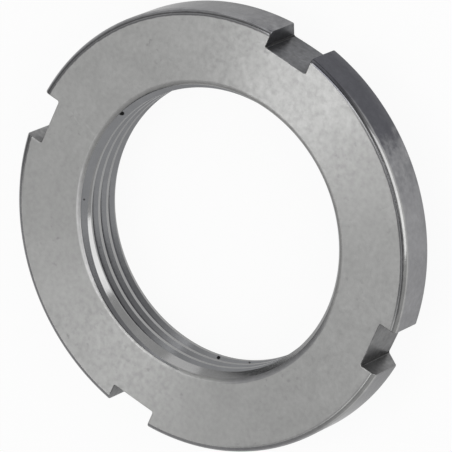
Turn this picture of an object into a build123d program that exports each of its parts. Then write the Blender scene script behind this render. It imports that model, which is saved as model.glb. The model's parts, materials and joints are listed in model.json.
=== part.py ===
from build123d import *

import math
import os

# Slotted round lock nut: one turned ring with a threaded bore and four spanner slots in its rim.
# The nut lies on its bearing face, the small end below the long rim chamfer. Z runs up the thread
# axis from that face, and X and Y run through the middles of the slots. All sizes are millimetres.
# The bore has the size that it has before the thread is cut into it.

# Ring
THREAD_DIAMETER = 30.0
THREAD_PITCH = 1.5
RING_THICKNESS = 7.5
WIDTH = 7.0

# Rim: the long chamfer that leaves the bearing face, and the rounding of its front edge
BEARING_CHAMFER_WIDTH = 3.5
BEARING_CHAMFER_HEIGHT = 2.7
FRONT_EDGE_RADIUS = 0.52

# Bore: its allowance over the thread's basic crest diameter, and the lead-in cones at its mouths,
# whose slope is measured from the faces
BORE_ALLOWANCE = 0.32
LEAD_IN_ANGLE = 52.0
FRONT_LEAD_IN_DEPTH = 1.0
REAR_LEAD_IN_DEPTH = 1.48
FRONT_MOUTH_EDGE_RADIUS = 0.6

# Flat break of the rear edges, which are those of the rear mouth and of the rim's long chamfer
REAR_EDGE_BREAK = 0.16

# Spanner slots
SLOT_COUNT = 4
SLOT_WIDTH = 5.0
SLOT_DEPTH = 2.0
SLOT_CORNER_RADIUS = 0.2
SLOT_EDGE_BREAK = 0.12

# Depth of a sixty degree nut thread, from its full diameter in to its crests, for a pitch of one
THREAD_DEPTH_RATIO = 5 / 16 * math.sqrt(3)

outer_radius = THREAD_DIAMETER / 2 + RING_THICKNESS
bearing_face_radius = outer_radius - BEARING_CHAMFER_WIDTH
bore_radius = THREAD_DIAMETER / 2 - THREAD_DEPTH_RATIO * THREAD_PITCH + BORE_ALLOWANCE / 2


def mouth_radius(lead_in_depth):
    """Radius at which a lead-in cone of this depth opens into its face."""
    return bore_radius + lead_in_depth / math.tan(math.radians(LEAD_IN_ANGLE))


def vertex_at(section, corner):
    """The section's vertex at this corner."""
    return section.vertices().sort_by_distance(Vector(*corner))[0]


def ring_section():
    """Half section of the ring beside the thread axis, with its edges rounded or broken."""
    bore_start = (bore_radius, REAR_LEAD_IN_DEPTH)
    rear_mouth = (mouth_radius(REAR_LEAD_IN_DEPTH), 0)
    bearing_face_edge = (bearing_face_radius, 0)
    rear_edge = (outer_radius, BEARING_CHAMFER_HEIGHT)
    front_edge = (outer_radius, WIDTH)
    front_mouth = (mouth_radius(FRONT_LEAD_IN_DEPTH), WIDTH)
    bore_end = (bore_radius, WIDTH - FRONT_LEAD_IN_DEPTH)
    with BuildSketch() as section:
        with BuildLine():
            Polyline(
                bore_start,
                rear_mouth,
                bearing_face_edge,
                rear_edge,
                front_edge,
                front_mouth,
                bore_end,
                close=True,
            )
        make_face()
        for corner, radius in ((front_edge, FRONT_EDGE_RADIUS), (front_mouth, FRONT_MOUTH_EDGE_RADIUS)):
            fillet(vertex_at(section, corner), radius)
        for corner in (rear_mouth, bearing_face_edge, rear_edge):
            chamfer(vertex_at(section, corner), REAR_EDGE_BREAK)
    return section.sketch


def slot_cutters():
    """Bars that mill the slots, square to the rim and as long as the nut is wide."""
    with BuildSketch() as slots:
        with PolarLocations(outer_radius, SLOT_COUNT):
            Rectangle(2 * SLOT_DEPTH, SLOT_WIDTH)
        root_corners = slots.vertices().filter_by(lambda corner: corner.center().length < outer_radius)
        fillet(root_corners, SLOT_CORNER_RADIUS)
    return extrude(slots.sketch, amount=WIDTH)


def lock_nut():
    """The turned ring with its slots, whose edges are broken all the way round."""
    ring = revolve(Plane.XZ * ring_section(), axis=Axis.Z)
    cutters = slot_cutters()
    nut = ring - cutters
    slot_edges = new_edges(ring, cutters, combined=nut).filter_by(Axis.Z, reverse=True)
    return chamfer(slot_edges, SLOT_EDGE_BREAK)


os.makedirs("parts", exist_ok=True)
nut = lock_nut()
nut.label = "lock_nut"
export_step(nut, "parts/lock_nut.step")
print(f"lock_nut: outer radius {outer_radius:.3f}, bore radius {bore_radius:.3f}, volume {nut.volume:.1f}")
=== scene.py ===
"""Dressed model of a slotted round lock nut: its thread, edge breaks and steel finishes, on a pale floor."""

import json
import math

import bmesh
import bpy
from bpy.props import FloatProperty, FloatVectorProperty, IntProperty, PointerProperty
from mathutils import Matrix, Vector


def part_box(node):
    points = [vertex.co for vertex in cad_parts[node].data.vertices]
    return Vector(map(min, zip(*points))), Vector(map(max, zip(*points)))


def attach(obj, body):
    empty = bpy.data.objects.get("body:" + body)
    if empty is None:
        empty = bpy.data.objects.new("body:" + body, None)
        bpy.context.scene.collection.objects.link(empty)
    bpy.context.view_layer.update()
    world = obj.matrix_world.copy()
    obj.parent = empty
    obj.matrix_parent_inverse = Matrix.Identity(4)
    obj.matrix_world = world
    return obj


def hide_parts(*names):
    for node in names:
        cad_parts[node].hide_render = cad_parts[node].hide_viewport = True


bl_info = {
    "name": "Slotted Round Lock Nut",
    "version": (1, 0, 0),
    "blender": (4, 5, 0),
    "location": "View3D > Sidebar > Lock Nut",
    "description": "Builds a slotted round lock nut with its thread and steel finishes",
    "category": "Add Mesh",
}

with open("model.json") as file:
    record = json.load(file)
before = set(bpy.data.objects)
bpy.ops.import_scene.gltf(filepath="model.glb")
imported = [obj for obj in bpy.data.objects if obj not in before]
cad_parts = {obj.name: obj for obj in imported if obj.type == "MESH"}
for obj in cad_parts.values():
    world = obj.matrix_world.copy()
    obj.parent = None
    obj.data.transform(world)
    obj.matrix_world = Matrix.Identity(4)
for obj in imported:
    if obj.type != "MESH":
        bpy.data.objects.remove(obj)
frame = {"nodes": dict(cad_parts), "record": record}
NODE = "lock_nut"
MM = 0.001

# The nut's own sizes, read from its solid and from its record
lowest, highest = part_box(NODE)
thread_bore = next(m for m in frame["record"]["mounts"] if m["name"] == "thread_bore")
SOLID_WIDTH = highest.z - lowest.z
SOLID_RADIUS = max(vertex.co.xy.length for vertex in frame["nodes"][NODE].data.vertices)
SOLID_BORE_RADIUS = thread_bore["dims"]["r_mm"] * MM

# Vertices nearer to each other than this are one
MERGE_DISTANCE = 0.001 * MM

# Where the smooth shading breaks at an edge
SHARP_ANGLE = math.radians(28)

# How far the cutter of the thread's groove reaches into the open bore, and how many of its turns run out
# below the bearing face and above the front face
GROOVE_OVERLAP = 0.25 * MM
TURNS_BELOW, TURNS_ABOVE = 2, 1

# Material slots of the nut, in their order on its mesh
GROUND, TURNED, BORED, MILLED, THREADED = range(5)

# How far up a face's normal points where it is flat, and where the mouth's rounding is still ground
FLAT_NORMAL_Z = 0.9999
MOUTH_NORMAL_Z = 0.63

# Each finish: its roughness and anisotropy, how much blotches and grains vary its colour, and how deep its
# fine lines are
FINISHES = {
    "Ground steel": (0.34, 0.9, 0.04, 0.06, 0.25),
    "Turned steel": (0.15, 0.6, 0.07, 0.07, 0.1),
    "Bored steel": (0.17, 0.5, 0.03, 0.02, 0.08),
    "Milled steel": (0.33, 0, 0.12, 0.2, 0.2),
    "Thread steel": (0.15, 0.5, 0.04, 0.03, 0.04),
}

# Sizes in the finishes: of the blotches, the grains, the changes of roughness, the fine lines and the pits
BLOTCH_SIZE = 2.5 * MM
GRAIN_SIZE = 0.5 * MM
ROUGHNESS_SIZE = 0.6 * MM
LINE_SIZE = 0.09 * MM
PIT_SIZE = 0.12 * MM

# Share by which the roughness goes up and down, and depth of the lines and pits
ROUGHNESS_CHANGE = 0.08
RELIEF_DEPTH = 0.01 * MM

# Small spots of grime on the faces: their size, and how strong they are
SPOT_SIZE = 0.55 * MM
SPOT_STRENGTH = 0.32

# How strong the grime and painted shade about the slots' corners are, and the painted shade that covers the
# corners' fillets
CORNER_GRIME_AND_SHADE_STRENGTH = 0.35
FILLET_SHADE_STRENGTH = 0.93

# Steel grows less bright towards grazing sight than a clean mirror does
EDGE_TINT = (0.65, 0.65, 0.65, 1)

# A quarter turn of the highlights, which lays them across the fine lines
HIGHLIGHT_TURN = 0.25

# Every stretch below is a pair of angles round the axis: its middle, counted from X, and half its width.
# This far beyond its two ends the mark on it has faded out. Only the painted dark reflection on the rim fades
# by a measure of its own.
STRETCH_FADE = math.radians(20)

# Stretch of the rim where a dark reflection is painted into its colour
RIM_DARK_REFLECTION = (math.radians(342.5), math.radians(17.5))

# Stretch of the rim's front edge that is lighter, partly by wear and partly by a painted highlight
WORN_AND_HIGHLIT_EDGE = (math.radians(-72), math.radians(38))

# Stretches of the same edge that have a painted dark line, a painted dark reflection, and how strong the line
# is on each
DARK_REFLECTION_LINES = (
    ((math.radians(55), math.radians(42)), 1),
    ((math.radians(-53), math.radians(17)), 1),
    ((math.radians(-122), math.radians(17)), 0.3),
)

# Distance from the rim in to that line
DARK_REFLECTION_INSET = 0.48 * MM

# Stretch of the flat faces with a painted highlight, and the stretches with mottles that are partly grime and
# partly painted shade
FACE_HIGHLIGHT = (math.radians(2), math.radians(20))
# These mottles are partly dirt and partly painted shade over the face's highlight
GRIMY_AND_SHADED_FACES = (
    (math.radians(-8), math.radians(24)),
    (math.radians(170), math.radians(12)),
)

# Radius of the bore's front lip, and the stretches of it with a painted highlight and a painted shade
LIP_RADIUS = SOLID_BORE_RADIUS + 0.78 * MM
LIP_HIGHLIGHT = (math.radians(125), math.radians(11))
LIP_SHADE = (math.radians(241), math.radians(16))

# The slot on the X axis, darker than the others by painted shade
SHADED_SLOT = (0, math.radians(15))

# Dark specks in the bore: where each lies and its radius, in millimetres
SPECKS = (
    ((5.07, 13.99, 6.29), 0.23),
    ((-13.75, -4.58, 2.11), 0.15),
    ((-5.3, 13.9, 6.45), 0.04),
    ((-9.68, 10.95, 4.9), 0.03),
    ((-12.14, -7.86, 2.15), 0.06),
)

# Fine scratches on the front face: the two ends of each, in millimetres, and how much lighter it is
SCRATCHES = (
    (((2.32, 18.72, 7.0), (1.72, 17.4, 7.0)), 0.06),
    (((2.2, 16.84, 7.0), (1.69, 15.56, 7.0)), 0.05),
)


class RingSizes(bpy.types.PropertyGroup):
    """Sizes of the turned ring."""

    outer_radius: FloatProperty(
        name="Outer radius", description="Radius of the rim", default=SOLID_RADIUS, unit="LENGTH"
    )
    width: FloatProperty(
        name="Width", description="Distance between the two faces", default=SOLID_WIDTH, unit="LENGTH"
    )
    bore_radius: FloatProperty(
        name="Bore radius", description="Radius at the thread's crests",
        default=SOLID_BORE_RADIUS, unit="LENGTH",
    )
    chamfer_width: FloatProperty(
        name="Rim chamfer width", description="How far the long chamfer comes in along the bearing face",
        default=3.5 * MM, unit="LENGTH",
    )
    chamfer_height: FloatProperty(
        name="Rim chamfer height", description="How far the long chamfer runs up the rim",
        default=2.7 * MM, unit="LENGTH",
    )
    front_edge_radius: FloatProperty(
        name="Front edge radius", description="Rounding between the front face and the rim",
        default=0.52 * MM, unit="LENGTH",
    )
    rear_edge_radius: FloatProperty(
        name="Rear edge radius", description="Rounding of the long chamfer's two edges",
        default=0.45 * MM, unit="LENGTH",
    )
    lead_in_angle: FloatProperty(
        name="Lead-in angle", description="Slope of the cones at the bore's mouths, from the faces",
        default=math.radians(52), subtype="ANGLE",
    )
    front_lead_in_depth: FloatProperty(
        name="Front lead-in depth", description="Depth of the cone at the front mouth of the bore",
        default=1.0 * MM, unit="LENGTH",
    )
    rear_lead_in_depth: FloatProperty(
        name="Rear lead-in depth", description="Depth of the cone at the rear mouth of the bore",
        default=1.48 * MM, unit="LENGTH",
    )
    front_mouth_radius: FloatProperty(
        name="Front mouth rounding", description="Rounding between the front face and its lead-in cone",
        default=0.6 * MM, unit="LENGTH",
    )
    rear_mouth_radius: FloatProperty(
        name="Rear mouth rounding", description="Rounding between the bearing face and its lead-in cone",
        default=0.3 * MM, unit="LENGTH",
    )
    facets: IntProperty(name="Facets", description="Number of flats round the ring", default=288, min=48)


class SlotSizes(bpy.types.PropertyGroup):
    """Sizes of the spanner slots."""

    count: IntProperty(name="Slots", description="Number of slots round the rim", default=4, min=1)
    width: FloatProperty(
        name="Slot width", description="Distance between a slot's two walls", default=5.0 * MM, unit="LENGTH"
    )
    depth: FloatProperty(
        name="Slot depth", description="Depth of a slot below the rim", default=2.0 * MM, unit="LENGTH"
    )
    corner_radius: FloatProperty(
        name="Slot corner radius", description="Rounding at the foot of a slot's walls",
        default=0.2 * MM, unit="LENGTH",
    )
    edge_break: FloatProperty(
        name="Slot edge break", description="Width of the break along a slot's edges",
        default=0.12 * MM, unit="LENGTH",
    )


class ThreadSizes(bpy.types.PropertyGroup):
    """Sizes of the thread that is cut into the bore."""

    pitch: FloatProperty(
        name="Pitch", description="Distance from one crest to the next", default=1.5 * MM, unit="LENGTH"
    )
    root_radius: FloatProperty(
        name="Root radius", description="Radius at the bottom of the groove",
        default=15.15 * MM, unit="LENGTH",
    )
    root_flat: FloatProperty(
        name="Root flat", description="Width of the groove's bottom", default=0.15 * MM, unit="LENGTH",
    )
    flank_angle: FloatProperty(
        name="Flank angle", description="Slope of the groove's flanks, from the faces",
        default=math.radians(30), subtype="ANGLE",
    )
    groove_height: FloatProperty(
        name="Groove height", description="Height of one turn's middle above the bearing face, on the X axis",
        default=0.2 * MM, unit="LENGTH",
    )


class SteelColours(bpy.types.PropertyGroup):
    """Colours of the nut's steel finishes."""

    ground: FloatVectorProperty(
        name="Ground faces", description="Steel of the flat faces and of the front mouth", subtype="COLOR",
        size=3, min=0, max=1, default=(0.38, 0.38, 0.375),
    )
    # Painted highlight: ground steel made lighter where the face catches the light
    highlight_painted: FloatVectorProperty(
        name="Rubbed faces", description="Ground steel where it is rubbed lighter", subtype="COLOR",
        size=3, min=0, max=1, default=(0.413, 0.413, 0.408),
    )
    turned: FloatVectorProperty(
        name="Turned rim", description="Steel of the rim and its chamfer", subtype="COLOR",
        size=3, min=0, max=1, default=(0.32, 0.32, 0.328),
    )
    bored: FloatVectorProperty(
        name="Bore", description="Steel of the lead-in cones and the thread's crests", subtype="COLOR",
        size=3, min=0, max=1, default=(0.4, 0.4, 0.4),
    )
    # Grime on the faces and in the slots' corners, and the painted shade of the corners and of the face's
    # highlight
    grime_and_shade: FloatVectorProperty(
        name="Grime", description="Dirt in the slots' corners and on the faces", subtype="COLOR",
        size=3, min=0, max=1, default=(0.09, 0.09, 0.09),
    )
    milled: FloatVectorProperty(
        name="Milled slots", description="Steel of the slots", subtype="COLOR",
        size=3, min=0, max=1, default=(0.27, 0.27, 0.272),
    )
    # Painted shade: a darker copy of the milled steel for one slot
    shade_painted: FloatVectorProperty(
        name="Dirty slot", description="Steel of the one slot that is dirty all over", subtype="COLOR",
        size=3, min=0, max=1, default=(0.195, 0.197, 0.206),
    )
    threaded: FloatVectorProperty(
        name="Thread", description="Steel of the thread's groove", subtype="COLOR",
        size=3, min=0, max=1, default=(0.37, 0.375, 0.388),
    )
    # Painted dark reflection on one stretch of the rim
    dark_reflection_painted: FloatVectorProperty(
        name="Tarnish", description="Stained steel on one stretch of the rim", subtype="COLOR",
        size=3, min=0, max=1, default=(0.108, 0.109, 0.122),
    )
    # The rim's front rounding, lighter partly by wear and partly by a painted highlight
    worn_edge_and_highlight: FloatVectorProperty(
        name="Worn edge", description="The rim's front rounding where it is worn bright", subtype="COLOR",
        size=3, min=0, max=1, default=(0.4, 0.4, 0.395),
    )
    # Colour of the rim's front rounding where the rim's dark reflection is painted
    edge_in_dark_reflection: FloatVectorProperty(
        name="Stained edge", description="Worn rounding where the rim is stained", subtype="COLOR",
        size=3, min=0, max=1, default=(0.3, 0.3, 0.305),
    )
    # Painted highlight on the bore's front lip
    lip_highlight_painted: FloatVectorProperty(
        name="Worn lip", description="The bore's front lip where it is worn bright", subtype="COLOR",
        size=3, min=0, max=1, default=(0.53, 0.53, 0.53),
    )
    # Painted shade on the bore's front lip
    lip_shade_painted: FloatVectorProperty(
        name="Dirty lip", description="The bore's front lip where it is dirty", subtype="COLOR",
        size=3, min=0, max=1, default=(0.25, 0.25, 0.255),
    )
    # Painted dark reflection along the front face's outer edge
    dark_reflection_line: FloatVectorProperty(
        name="Edge line", description="Darker steel along the front face's outer edge", subtype="COLOR",
        size=3, min=0, max=1, default=(0.13, 0.13, 0.133),
    )
    # Real dark specks in the bore, and the painted shade that covers the highlight of the slots' corner
    # fillets
    speck_and_fillet_shade: FloatVectorProperty(
        name="Specks", description="Dirt in the bore's small pits and packed in the slots' corners",
        subtype="COLOR", size=3, min=0, max=1, default=(0.02, 0.02, 0.02),
    )


class StudioSettings(bpy.types.PropertyGroup):
    """Settings of the camera."""

    azimuth: FloatProperty(
        name="Camera azimuth", description="Direction of the camera round the nut, from X towards Y",
        default=math.radians(-37.1416), subtype="ANGLE",
    )
    elevation: FloatProperty(
        name="Camera elevation", description="Height of the camera above the floor, as an angle",
        default=math.radians(55.5656), subtype="ANGLE",
    )
    roll: FloatProperty(
        name="Camera roll", description="Turn of the camera about its own line of sight",
        default=math.radians(-113.2268), subtype="ANGLE",
    )
    distance: FloatProperty(
        name="Camera distance", description="Distance from the camera to the nut",
        default=0.5773, unit="LENGTH",
    )
    aim: FloatVectorProperty(
        name="Camera aim", description="Point that the camera looks at", subtype="TRANSLATION",
        size=3, default=(-0.143 * MM, -0.068 * MM, 3.55 * MM),
    )
    lens: FloatProperty(
        name="Lens", description="Focal length", default=463.42, unit="CAMERA", subtype="DISTANCE_CAMERA",
    )


# Ring, slots and thread

def mouth_radius(ring, depth):
    """Radius at which a lead-in cone of this depth opens into its face."""
    return ring.bore_radius + depth / math.tan(ring.lead_in_angle)


def round_corner(bm, corner, radius, segments):
    """Round the section's corner that lies nearest to this point."""
    vertex = min(bm.verts, key=lambda v: (v.co - corner).length)
    one_way, other_way = (edge.other_vert(vertex).co - vertex.co for edge in vertex.link_edges)
    turn = math.pi - one_way.angle(other_way)
    bmesh.ops.bevel(
        bm, geom=[vertex], affect="VERTICES", offset_type="OFFSET", offset=radius * math.tan(turn / 2),
        segments=segments, profile=0.5, material=-1,
    )


def turned_ring(ring):
    """The ring as it leaves the lathe, as a bmesh: its half section, rounded and spun about Z."""
    rear_mouth = Vector((mouth_radius(ring, ring.rear_lead_in_depth), 0, 0))
    bearing_edge = Vector((ring.outer_radius - ring.chamfer_width, 0, 0))
    rear_edge = Vector((ring.outer_radius, 0, ring.chamfer_height))
    front_edge = Vector((ring.outer_radius, 0, ring.width))
    front_mouth = Vector((mouth_radius(ring, ring.front_lead_in_depth), 0, ring.width))
    bore_start = Vector((ring.bore_radius, 0, ring.rear_lead_in_depth))
    bore_end = Vector((ring.bore_radius, 0, ring.width - ring.front_lead_in_depth))
    bm = bmesh.new()
    outline = [bore_start, rear_mouth, bearing_edge, rear_edge, front_edge, front_mouth, bore_end]
    bm.faces.new([bm.verts.new(corner) for corner in outline])
    for corner, radius, segments in (
        (rear_mouth, ring.rear_mouth_radius, 4),
        (bearing_edge, ring.rear_edge_radius / 2, 3),
        (rear_edge, ring.rear_edge_radius, 4),
        (front_edge, ring.front_edge_radius, 10),
        (front_mouth, ring.front_mouth_radius, 8),
    ):
        round_corner(bm, corner, radius, segments)
    bmesh.ops.delete(bm, geom=bm.faces[:], context="FACES_ONLY")
    bmesh.ops.spin(
        bm, geom=bm.verts[:] + bm.edges[:], cent=(0, 0, 0), axis=(0, 0, 1), dvec=(0, 0, 0),
        angle=2 * math.pi, steps=ring.facets, use_merge=True,
    )
    bmesh.ops.recalc_face_normals(bm, faces=bm.faces[:])
    for face in bm.faces:
        on_rim = face.calc_center_median().xy.length > bearing_edge.x - ring.rear_edge_radius
        if abs(face.normal.z) > FLAT_NORMAL_Z or face.normal.z > MOUTH_NORMAL_Z and not on_rim:
            face.material_index = GROUND
        elif on_rim:
            face.material_index = TURNED
        else:
            face.material_index = BORED
    return bm


def slot_bars(ring, slots):
    """Bars that mill the slots, rounded where they cut the foot of the walls, as a bmesh."""
    bm = bmesh.new()
    size = Matrix.Diagonal((2 * slots.depth, slots.width, 2 * ring.width, 1))
    place = Matrix.Translation((ring.outer_radius, 0, ring.width / 2))
    bmesh.ops.create_cube(bm, size=1, matrix=place @ size)
    foot = [
        edge for edge in bm.edges
        if all(vertex.co.x < ring.outer_radius for vertex in edge.verts)
        and abs(edge.verts[0].co.z - edge.verts[1].co.z) > ring.width
    ]
    bmesh.ops.bevel(
        bm, geom=foot, affect="EDGES", offset_type="OFFSET", offset=slots.corner_radius,
        segments=4, profile=0.5, material=-1,
    )
    bmesh.ops.spin(
        bm, geom=bm.verts[:] + bm.edges[:] + bm.faces[:], cent=(0, 0, 0), axis=(0, 0, 1), dvec=(0, 0, 0),
        angle=2 * math.pi * (slots.count - 1) / slots.count, steps=slots.count - 1, use_duplicate=True,
    )
    for face in bm.faces:
        face.material_index = MILLED
    return bm


def thread_groove(ring, thread):
    """The groove of the thread, as the bmesh of a right-hand spiral bar that runs out past both faces."""
    inner_radius = ring.bore_radius - GROOVE_OVERLAP
    slope = math.tan(thread.flank_angle)
    half_root = thread.root_flat / 2
    half_mouth = half_root + (thread.root_radius - inner_radius) * slope
    turns = math.ceil(ring.width / thread.pitch) + TURNS_BELOW + TURNS_ABOVE
    start = thread.groove_height - TURNS_BELOW * thread.pitch
    steps = turns * ring.facets
    bm = bmesh.new()
    corners = [
        (inner_radius, 0, start - half_mouth),
        (thread.root_radius, 0, start - half_root),
        (thread.root_radius, 0, start + half_root),
        (inner_radius, 0, start + half_mouth),
    ]
    section = bm.faces.new([bm.verts.new(corner) for corner in corners])
    bmesh.ops.spin(
        bm, geom=[section], cent=(0, 0, 0), axis=(0, 0, 1), dvec=(0, 0, thread.pitch / ring.facets),
        angle=2 * math.pi * turns, steps=steps,
    )
    bmesh.ops.recalc_face_normals(bm, faces=bm.faces[:])
    for face in bm.faces:
        face.material_index = THREADED
    return bm


def as_object(bm, name, materials):
    """A linked object that holds this bmesh, which is freed."""
    mesh = bpy.data.meshes.new(name)
    for material in materials:
        mesh.materials.append(material)
    bm.to_mesh(mesh)
    bm.free()
    obj = bpy.data.objects.new(name, mesh)
    bpy.context.scene.collection.objects.link(obj)
    return obj


def cut(obj, tool):
    """Cut the tool object out of obj, merge the doubled vertices that the cut leaves and remove the tool."""
    modifier = obj.modifiers.new(tool.name, "BOOLEAN")
    modifier.operation = "DIFFERENCE"
    modifier.solver = "EXACT"
    modifier.object = tool
    evaluated = obj.evaluated_get(bpy.context.evaluated_depsgraph_get())
    mesh = bpy.data.meshes.new_from_object(evaluated)
    obj.modifiers.clear()
    bm = bmesh.new()
    bm.from_mesh(mesh)
    bmesh.ops.remove_doubles(bm, verts=bm.verts[:], dist=MERGE_DISTANCE)
    bm.to_mesh(mesh)
    bm.free()
    obj.data = mesh
    bpy.data.objects.remove(tool)


def break_slot_edges(obj, width):
    """Break every edge at which a slot meets the turned or ground steel."""
    bm = bmesh.new()
    bm.from_mesh(obj.data)
    rims = [
        edge for edge in bm.edges
        if len(edge.link_faces) == 2
        and sum(face.material_index == MILLED for face in edge.link_faces) == 1
    ]
    bmesh.ops.bevel(
        bm, geom=rims, affect="EDGES", offset_type="OFFSET", offset=width,
        segments=3, profile=0.5, material=-1,
    )
    bm.to_mesh(obj.data)
    bm.free()


def shade(obj):
    """Smooth shading that keeps the flat faces flat, the sharp edges sharp and the thread's edges crisp."""
    obj.data.polygons.foreach_set("use_smooth", [True] * len(obj.data.polygons))
    obj.data.set_sharp_from_angle(angle=SHARP_ANGLE)
    bm = bmesh.new()
    bm.from_mesh(obj.data)
    for edge in bm.edges:
        if sum(face.material_index == THREADED for face in edge.link_faces) == 1:
            edge.smooth = False
    bm.to_mesh(obj.data)
    bm.free()
    weighted = obj.modifiers.new("Weighted Normal", "WEIGHTED_NORMAL")
    weighted.keep_sharp = True


# Steel finishes

# Sockets of a colour mix: its factor, its two colours and its result
MIX_FACTOR, MIX_FIRST, MIX_SECOND, MIX_RESULT = 0, 6, 7, 2


def add(tree, kind, inputs=None, **settings):
    """A node of this kind, with its settings made and its inputs linked or set."""
    node = tree.nodes.new(kind)
    for name, value in settings.items():
        setattr(node, name, value)
    for socket, value in (inputs or {}).items():
        if isinstance(value, bpy.types.NodeSocket):
            tree.links.new(value, node.inputs[socket])
        else:
            node.inputs[socket].default_value = value
    return node


def calculate(tree, operation, first, second):
    """The number that this operation makes of two numbers."""
    return add(tree, "ShaderNodeMath", {0: first, 1: second}, operation=operation).outputs["Value"]


def multiply(tree, first, second):
    """The product of two numbers."""
    return calculate(tree, "MULTIPLY", first, second)


def combine(tree, operation, first, second):
    """The vector that this operation makes of two vectors."""
    return add(tree, "ShaderNodeVectorMath", {0: first, 1: second}, operation=operation).outputs["Vector"]


def measure(tree, operation, first, second):
    """The number that this operation makes of two vectors."""
    return add(tree, "ShaderNodeVectorMath", {0: first, 1: second}, operation=operation).outputs["Value"]


def blend(tree, factor, first, second):
    """The first colour where the factor is 0, and the second where it is 1."""
    first, second = (
        colour if isinstance(colour, bpy.types.NodeSocket) else (*colour, 1) for colour in (first, second)
    )
    mix = add(tree, "ShaderNodeMix", {
        MIX_FACTOR: factor, MIX_FIRST: first, MIX_SECOND: second,
    }, data_type="RGBA")
    return mix.outputs[MIX_RESULT]


def grade(tree, value, start, end, low, high):
    """Low where the value is at its start, high where it is at its end, and smooth in between."""
    return add(tree, "ShaderNodeMapRange", {
        "Value": value, "From Min": start, "From Max": end, "To Min": low, "To Max": high,
    }, interpolation_type="SMOOTHSTEP").outputs["Result"]


def within(tree, distance, reach, softness):
    """A factor of 1 where the distance is under the reach, which fades to 0 over the softness."""
    return grade(tree, distance, reach, reach + softness, 1, 0)


def speckle(tree, place, size, detail, dark, light):
    """A factor that varies between dark and light, with spots of about this size."""
    noise = add(tree, "ShaderNodeTexNoise", {"Vector": place, "Scale": 1 / size, "Detail": detail})
    return add(tree, "ShaderNodeMapRange", {
        "Value": noise.outputs["Fac"], "From Min": 0.3, "From Max": 0.7, "To Min": dark, "To Max": light,
    }).outputs["Result"]


def ragged(tree, place, distance, size, detail, depth):
    """The distance, made uneven by up to this depth, with bumps of about this size."""
    return calculate(tree, "ADD", distance, speckle(tree, place, size, detail, -depth, depth))


def section_place(tree, place):
    """The distance from the axis and the height of this place, as the X and Z of a vector."""
    parts = add(tree, "ShaderNodeSeparateXYZ", {"Vector": place})
    level = add(tree, "ShaderNodeCombineXYZ", {"X": parts.outputs["X"], "Y": parts.outputs["Y"]})
    radius = add(tree, "ShaderNodeVectorMath", {0: level.outputs["Vector"]}, operation="LENGTH")
    section = add(tree, "ShaderNodeCombineXYZ", {"X": radius.outputs["Value"], "Z": parts.outputs["Z"]})
    return section.outputs["Vector"]


def height_of(tree, place):
    """The height of this place above the bearing face."""
    return add(tree, "ShaderNodeSeparateXYZ", {"Vector": place}).outputs["Z"]


def on_stretch(tree, place, stretch):
    """A factor of 1 on this stretch round the axis, which fades to 0 beyond its two ends."""
    middle, half = stretch
    level = combine(tree, "MULTIPLY", place, (1, 1, 0))
    outward = add(tree, "ShaderNodeVectorMath", {0: level}, operation="NORMALIZE").outputs["Vector"]
    along = measure(tree, "DOT_PRODUCT", outward, (math.cos(middle), math.sin(middle), 0))
    return grade(tree, along, math.cos(half + STRETCH_FADE), math.cos(half), 0, 1)


def dark_reflected(tree, place):
    """A factor of 1 on the stretch of the rim where a dark reflection is painted, which thins out in mottles
    where it ends.
    """
    middle, half = RIM_DARK_REFLECTION
    reach = SOLID_RADIUS * (1 - math.cos(half))
    across = measure(tree, "DOT_PRODUCT", place, (math.cos(middle), math.sin(middle), 0))
    behind_rim = calculate(tree, "SUBTRACT", SOLID_RADIUS, across)
    edge = ragged(tree, place, behind_rim, size=1.1 * MM, detail=4, depth=0.4 * MM)
    darkened = within(tree, edge, reach=reach - 0.5 * MM, softness=1.2 * MM)
    mottled = multiply(
        tree,
        within(tree, edge, reach=reach + 1.0 * MM, softness=2.5 * MM),
        speckle(tree, place, size=0.9 * MM, detail=4, dark=0, light=0.5),
    )
    fainter_at_foot = add(tree, "ShaderNodeMapRange", {
        "Value": height_of(tree, place), "From Min": 1.5 * MM, "From Max": 4 * MM, "To Min": 0.6, "To Max": 1,
    })
    return multiply(tree, calculate(tree, "MAXIMUM", darkened, mottled), fainter_at_foot.outputs["Result"])


def lightened(tree, place):
    """A factor of 1 where the rim's front rounding is lighter, partly by wear and partly by a painted
    highlight.
    """
    below_face = calculate(tree, "SUBTRACT", SOLID_WIDTH, height_of(tree, place))
    edge = ragged(tree, place, below_face, size=0.8 * MM, detail=4, depth=0.05 * MM)
    rounding = within(tree, edge, reach=0.36 * MM, softness=0.16 * MM)
    return multiply(tree, rounding, on_stretch(tree, place, WORN_AND_HIGHLIT_EDGE))


def spotted(tree, place, colour, grime_and_shade):
    """The colour, with faint small spots of grime that gather in patches."""
    noise = add(tree, "ShaderNodeTexNoise", {"Vector": place, "Scale": 1 / SPOT_SIZE, "Detail": 2})
    spots = grade(tree, noise.outputs["Fac"], start=0.6, end=0.74, low=0, high=SPOT_STRENGTH)
    gathered = speckle(tree, place, size=6 * MM, detail=2, dark=-0.5, light=1)
    return blend(tree, multiply(tree, spots, gathered), colour, grime_and_shade)


def grimed_and_shaded(tree, place, colour, grime_and_shade):
    """The colour, with mottles on the stretches where the face's highlight falls, partly dirt and partly
    painted shade.
    """
    mottled = speckle(tree, place, size=0.7 * MM, detail=4, dark=-0.1, light=0.2)
    for stretch in GRIMY_AND_SHADED_FACES:
        colour = blend(tree, multiply(tree, mottled, on_stretch(tree, place, stretch)), colour, grime_and_shade)
    return colour


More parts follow.
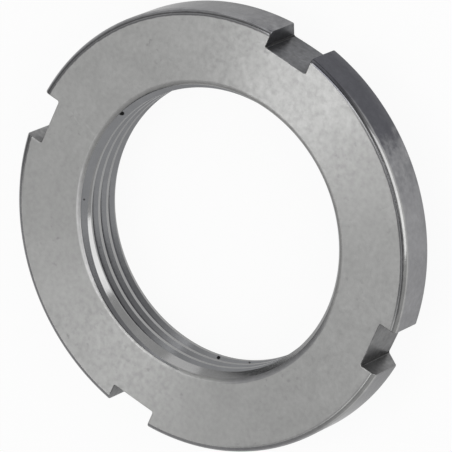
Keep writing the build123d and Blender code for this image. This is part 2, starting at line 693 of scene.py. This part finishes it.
def dark_reflection_lined(tree, place, colour, line):
    """The colour, with an uneven dark line, a painted dark reflection, where the front face ends at the rim's
    rounding.
    """
    face_end = (SOLID_RADIUS - DARK_REFLECTION_INSET, 0, SOLID_WIDTH)
    away = measure(tree, "DISTANCE", section_place(tree, place), face_end)
    edge = ragged(tree, place, away, size=0.6 * MM, detail=3, depth=0.03 * MM)
    near = within(tree, edge, reach=0.14 * MM, softness=0.1 * MM)
    for stretch, strength in DARK_REFLECTION_LINES:
        factor = multiply(tree, multiply(tree, near, on_stretch(tree, place, stretch)), strength)
        colour = blend(tree, factor, colour, line)
    return colour


def lipped(tree, place, colour, bright, shade_painted):
    """The colour, with a painted highlight and a painted shade on two stretches of the bore's front lip."""
    away = measure(tree, "DISTANCE", section_place(tree, place), (LIP_RADIUS, 0, SOLID_WIDTH))
    near = within(tree, away, reach=0.26 * MM, softness=0.14 * MM)
    for stretch, lip_colour in ((LIP_HIGHLIGHT, bright), (LIP_SHADE, shade_painted)):
        colour = blend(tree, multiply(tree, near, on_stretch(tree, place, stretch)), colour, lip_colour)
    return colour


def specked(tree, place, colour, speck_and_fillet_shade):
    """The colour, with the small dark specks that lie in the bore."""
    unevenness = speckle(tree, place, size=0.15 * MM, detail=2, dark=-0.04 * MM, light=0.04 * MM)
    for point, radius in SPECKS:
        edge = calculate(tree, "ADD", measure(tree, "DISTANCE", place, Vector(point) * MM), unevenness)
        colour = blend(tree, within(tree, edge, reach=radius * MM, softness=0.08 * MM), colour, speck_and_fillet_shade)
    return colour


def scratched(tree, place, colour):
    """The colour, a little lighter along the fine scratches of the front face."""
    for ends, gain in SCRATCHES:
        start, end = (Vector(point) * MM for point in ends)
        along = (end - start).normalized()
        from_start = combine(tree, "SUBTRACT", place, start)
        run = calculate(tree, "MAXIMUM", measure(tree, "DOT_PRODUCT", from_start, along), 0)
        run = calculate(tree, "MINIMUM", run, (end - start).length)
        nearest = add(tree, "ShaderNodeVectorMath", {0: along, "Scale": run}, operation="SCALE")
        away = measure(tree, "DISTANCE", from_start, nearest.outputs["Vector"])
        line = within(tree, away, reach=0.03 * MM, softness=0.09 * MM)
        colour = blend(tree, multiply(tree, line, gain), colour, (1, 1, 1))
    return colour


def cornered(tree, place, slots, colour, grime_and_shade, fillet_shade):
    """The colour, with dirt and painted shade about the foot of the slots' walls, and painted shade over the
    highlight of the corners' fillets.
    """
    parts = add(tree, "ShaderNodeSeparateXYZ", {"Vector": place})
    x, y = (
        add(tree, "ShaderNodeMath", {0: parts.outputs[axis]}, operation="ABSOLUTE").outputs["Value"]
        for axis in ("X", "Y")
    )
    # In each of the four slots, the larger of the two runs along the slot and the smaller across it
    in_slot = add(tree, "ShaderNodeCombineXYZ", {
        "X": calculate(tree, "MAXIMUM", x, y), "Y": calculate(tree, "MINIMUM", x, y),
    })
    corner = (SOLID_RADIUS - slots.depth, slots.width / 2, 0)
    away = measure(tree, "DISTANCE", in_slot.outputs["Vector"], corner)
    edge = ragged(tree, place, away, size=0.7 * MM, detail=4, depth=0.2 * MM)
    # Grime about the corners: partly dirt, partly painted shade
    spread = multiply(tree, within(tree, edge, reach=0.4 * MM, softness=1.1 * MM), CORNER_GRIME_AND_SHADE_STRENGTH)
    colour = blend(tree, spread, colour, grime_and_shade)
    # Painted shade that covers the highlight of the corners' fillets
    shaded_fillet = multiply(tree, within(tree, away, reach=0.1 * MM, softness=0.08 * MM), FILLET_SHADE_STRENGTH)
    return blend(tree, shaded_fillet, colour, fillet_shade)


def face_colour(tree, place, colours):
    """Ground steel with its painted highlight, its mottles of dirt and painted shade, scratches, the lip's
    painted highlight and shade, and the painted dark reflection along its edge.
    """
    colour = blend(tree, on_stretch(tree, place, FACE_HIGHLIGHT), colours.ground, colours.highlight_painted)
    colour = scratched(tree, place, colour)
    colour = spotted(tree, place, colour, colours.grime_and_shade)
    colour = grimed_and_shaded(tree, place, colour, colours.grime_and_shade)
    colour = lipped(tree, place, colour, colours.lip_highlight_painted, colours.lip_shade_painted)
    return dark_reflection_lined(tree, place, colour, colours.dark_reflection_line)


def rim_colour(tree, place, colours):
    """Turned steel with its painted dark reflection, its rounding lightened by wear and a painted highlight,
    and the painted dark reflection along its edge.
    """
    dark_reflection_share = dark_reflected(tree, place)
    rim = blend(tree, dark_reflection_share, colours.turned, colours.dark_reflection_painted)
    rounding = blend(tree, dark_reflection_share, colours.worn_edge_and_highlight, colours.edge_in_dark_reflection)
    colour = blend(tree, lightened(tree, place), rim, rounding)
    return dark_reflection_lined(tree, place, colour, colours.dark_reflection_line)


def slot_colour(tree, place, slots, colours):
    """Milled steel with the painted shade of one slot, and the dirt and painted shade about the corners."""
    colour = blend(tree, on_stretch(tree, place, SHADED_SLOT), colours.milled, colours.shade_painted)
    return cornered(tree, place, slots, colour, colours.grime_and_shade, colours.speck_and_fillet_shade)


def steel(name, colour_at):
    """Bare machined steel of this finish. Its colour is what colour_at makes of the tree and the place."""
    roughness, anisotropy, blotches, grains, lines = FINISHES[name]
    material = bpy.data.materials.new(name)
    material.use_nodes = True
    tree = material.node_tree
    shader = tree.nodes["Principled BSDF"]
    place = add(tree, "ShaderNodeTexCoord").outputs["Object"]
    round_axis = combine(tree, "CROSS_PRODUCT", (0, 0, 1), place)

    variation = multiply(
        tree,
        speckle(tree, place, BLOTCH_SIZE, detail=3, dark=1 - blotches, light=1 + blotches),
        speckle(tree, place, GRAIN_SIZE, detail=4, dark=1 - grains, light=1 + grains),
    )
    tint = add(tree, "ShaderNodeVectorMath", {
        0: colour_at(tree, place), "Scale": variation,
    }, operation="SCALE")
    rough = speckle(
        tree, place, ROUGHNESS_SIZE, detail=3,
        dark=roughness * (1 - ROUGHNESS_CHANGE), light=roughness * (1 + ROUGHNESS_CHANGE),
    )
    line = speckle(tree, section_place(tree, place), LINE_SIZE, detail=2, dark=0, light=1)
    pit = speckle(tree, place, PIT_SIZE, detail=2, dark=0, light=1)
    height = add(tree, "ShaderNodeMix", {"Factor": 0.5, "A": line, "B": pit}).outputs["Result"]
    bump = add(tree, "ShaderNodeBump", {"Strength": lines, "Distance": RELIEF_DEPTH, "Height": height})

    shader.inputs["Metallic"].default_value = 1
    shader.inputs["Specular Tint"].default_value = EDGE_TINT
    shader.inputs["Anisotropic"].default_value = anisotropy
    shader.inputs["Anisotropic Rotation"].default_value = HIGHLIGHT_TURN
    tree.links.new(tint.outputs["Vector"], shader.inputs["Base Color"])
    tree.links.new(rough, shader.inputs["Roughness"])
    tree.links.new(bump.outputs["Normal"], shader.inputs["Normal"])
    tree.links.new(round_axis, shader.inputs["Tangent"])
    return material


class LOCKNUT_OT_nut(bpy.types.Operator):
    """Build the nut: the turned ring, its slots and its thread"""

    bl_idname = "locknut.nut"
    bl_label = "Lock Nut"

    def execute(self, context):
        scene = context.scene
        ring, slots, thread, colours = scene.nut_ring, scene.nut_slots, scene.nut_thread, scene.nut_colours
        finishes = [
            steel("Ground steel", lambda tree, place: face_colour(tree, place, colours)),
            steel("Turned steel", lambda tree, place: rim_colour(tree, place, colours)),
            steel("Bored steel", lambda tree, place: specked(tree, place, colours.bored, colours.speck_and_fillet_shade)),
            steel("Milled steel", lambda tree, place: slot_colour(tree, place, slots, colours)),
            steel("Thread steel", lambda tree, place: specked(tree, place, colours.threaded, colours.speck_and_fillet_shade)),
        ]
        nut = as_object(turned_ring(ring), "nut", finishes)
        cut(nut, as_object(slot_bars(ring, slots), "slot_bars", finishes))
        break_slot_edges(nut, slots.edge_break)
        cut(nut, as_object(thread_groove(ring, thread), "thread_groove", finishes))
        shade(nut)
        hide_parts(NODE)
        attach(nut, "root")
        return {"FINISHED"}


# Soft lamps round the nut: name, azimuth and elevation in degrees, width and height in metres, and power
LAMP_DISTANCE = 0.28
LAMPS = (
    ("Key", 120, 60, 0.09, 0.09, 0.022),
    ("Top", 105, 75, 0.09, 0.09, 0.082),
    ("Left", 160, 65, 0.09, 0.09, 0.027),
    ("Front", -52, 25, 0.24, 0.24, 0.235),
    ("Front top", -60, 81, 0.07, 0.04, 0.019),
    ("Back", 40, 17, 0.1, 0.1, 0.013),
    ("Back high", 20, 42, 0.16, 0.16, 0.042),
)

# Light of the room, and of a darker patch of it: azimuth and elevation of the patch in degrees, how wide
# it is at full strength and where it ends, as angles from its middle
ROOM_LIGHT = 0.534
DARK_PATCH_LIGHT = 0.27
DARK_PATCH = (0, 60)
DARK_PATCH_CORE = math.radians(12.5)
DARK_PATCH_REACH = math.radians(37.5)

# How far the floor reaches from the nut, and its colour
FLOOR_REACH = 2.0
FLOOR_COLOUR = (0.9, 0.9, 0.9, 1)

# How white the floor shows by itself, to the camera and in the steel
FLOOR_WHITE = 0.93
FLOOR_WHITE_IN_METAL = 0.6


def from_angles(azimuth, elevation, distance):
    """The point in this direction from the origin, with the angles in degrees."""
    a, e = math.radians(azimuth), math.radians(elevation)
    return Vector((math.cos(e) * math.cos(a), math.cos(e) * math.sin(a), math.sin(e))) * distance


def area_lamp(name, position, width, height, power):
    """A soft lamp at this place, turned to the nut."""
    lamp = bpy.data.lights.new(name, "AREA")
    lamp.shape = "RECTANGLE"
    lamp.size = width
    lamp.size_y = height
    lamp.energy = power
    obj = bpy.data.objects.new(name, lamp)
    obj.location = position
    obj.rotation_euler = position.to_track_quat("Z", "Y").to_euler()
    bpy.context.scene.collection.objects.link(obj)


def white_floor():
    """A wide pale floor, which shows nearly white and keeps the nut's shadow."""
    bm = bmesh.new()
    bmesh.ops.create_grid(bm, x_segments=1, y_segments=1, size=FLOOR_REACH)
    material = bpy.data.materials.new("White floor")
    material.use_nodes = True
    tree = material.node_tree
    tree.nodes.clear()
    path = add(tree, "ShaderNodeLightPath")
    reflected = multiply(tree, path.outputs["Is Glossy Ray"], FLOOR_WHITE_IN_METAL)
    seen = calculate(tree, "MAXIMUM", path.outputs["Is Camera Ray"], path.outputs["Is Transmission Ray"])
    share = calculate(tree, "MAXIMUM", multiply(tree, seen, FLOOR_WHITE), reflected)
    matt = add(tree, "ShaderNodeBsdfDiffuse", {"Color": FLOOR_COLOUR})
    glow = add(tree, "ShaderNodeEmission")
    mix = add(tree, "ShaderNodeMixShader", {
        0: share, 1: matt.outputs["BSDF"], 2: glow.outputs["Emission"],
    })
    add(tree, "ShaderNodeOutputMaterial", {"Surface": mix.outputs["Shader"]})
    as_object(bm, "floor", [material])


def light_room():
    """A plain light room all round, with one darker patch."""
    world = bpy.data.worlds.new("Room")
    bpy.context.scene.world = world
    world.use_nodes = True
    tree = world.node_tree
    ray = add(tree, "ShaderNodeTexCoord").outputs["Generated"]
    near = measure(tree, "DOT_PRODUCT", ray, from_angles(*DARK_PATCH, distance=1))
    light = grade(
        tree, near, math.cos(DARK_PATCH_REACH), math.cos(DARK_PATCH_CORE), ROOM_LIGHT, DARK_PATCH_LIGHT
    )
    room = tree.nodes["Background"]
    room.inputs["Color"].default_value = (1, 1, 1, 1)
    tree.links.new(light, room.inputs["Strength"])


class LOCKNUT_OT_stage(bpy.types.Operator):
    """Make the floor, the lamps and the camera"""

    bl_idname = "locknut.stage"
    bl_label = "Stage"

    def execute(self, context):
        scene = context.scene
        studio = scene.nut_studio
        white_floor()
        light_room()
        for name, azimuth, elevation, width, height, power in LAMPS:
            area_lamp(name, from_angles(azimuth, elevation, LAMP_DISTANCE), width, height, power)
        camera = bpy.data.objects.new("Camera", bpy.data.cameras.new("Camera"))
        scene.collection.objects.link(camera)
        turn = (
            Matrix.Rotation(studio.azimuth + math.pi / 2, 4, "Z")
            @ Matrix.Rotation(math.pi / 2 - studio.elevation, 4, "X")
            @ Matrix.Rotation(studio.roll, 4, "Z")
        )
        back = Matrix.Translation((0, 0, studio.distance))
        camera.matrix_world = Matrix.Translation(studio.aim) @ turn @ back
        camera.data.lens = studio.lens
        camera.data.clip_start = 0.05
        camera.data.clip_end = 10
        scene.camera = camera
        scene.view_settings.view_transform = "Standard"
        return {"FINISHED"}


class LOCKNUT_PT_panel(bpy.types.Panel):
    """The nut's sizes, colours and steps in the sidebar."""

    bl_label = "Lock Nut"
    bl_space_type = "VIEW_3D"
    bl_region_type = "UI"
    bl_category = "Lock Nut"

    def draw(self, context):
        for settings in SETTINGS:
            group = getattr(context.scene, settings)
            box = self.layout.box()
            for name in group.__annotations__:
                box.prop(group, name)
        self.layout.operator(LOCKNUT_OT_nut.bl_idname)
        self.layout.operator(LOCKNUT_OT_stage.bl_idname)


SETTINGS = {
    "nut_ring": RingSizes,
    "nut_slots": SlotSizes,
    "nut_thread": ThreadSizes,
    "nut_colours": SteelColours,
    "nut_studio": StudioSettings,
}
CLASSES = (*SETTINGS.values(), LOCKNUT_OT_nut, LOCKNUT_OT_stage, LOCKNUT_PT_panel)


def register():
    for cls in CLASSES:
        bpy.utils.register_class(cls)
    for name, group in SETTINGS.items():
        setattr(bpy.types.Scene, name, PointerProperty(type=group))


def unregister():
    for name in SETTINGS:
        delattr(bpy.types.Scene, name)
    for cls in reversed(CLASSES):
        bpy.utils.unregister_class(cls)


def main():
    """Build the dressed nut, with the sizes of its solid, and its stage."""
    register()
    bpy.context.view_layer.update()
    bpy.ops.locknut.nut()
    bpy.ops.locknut.stage()


if __name__ == "__main__":
    main()
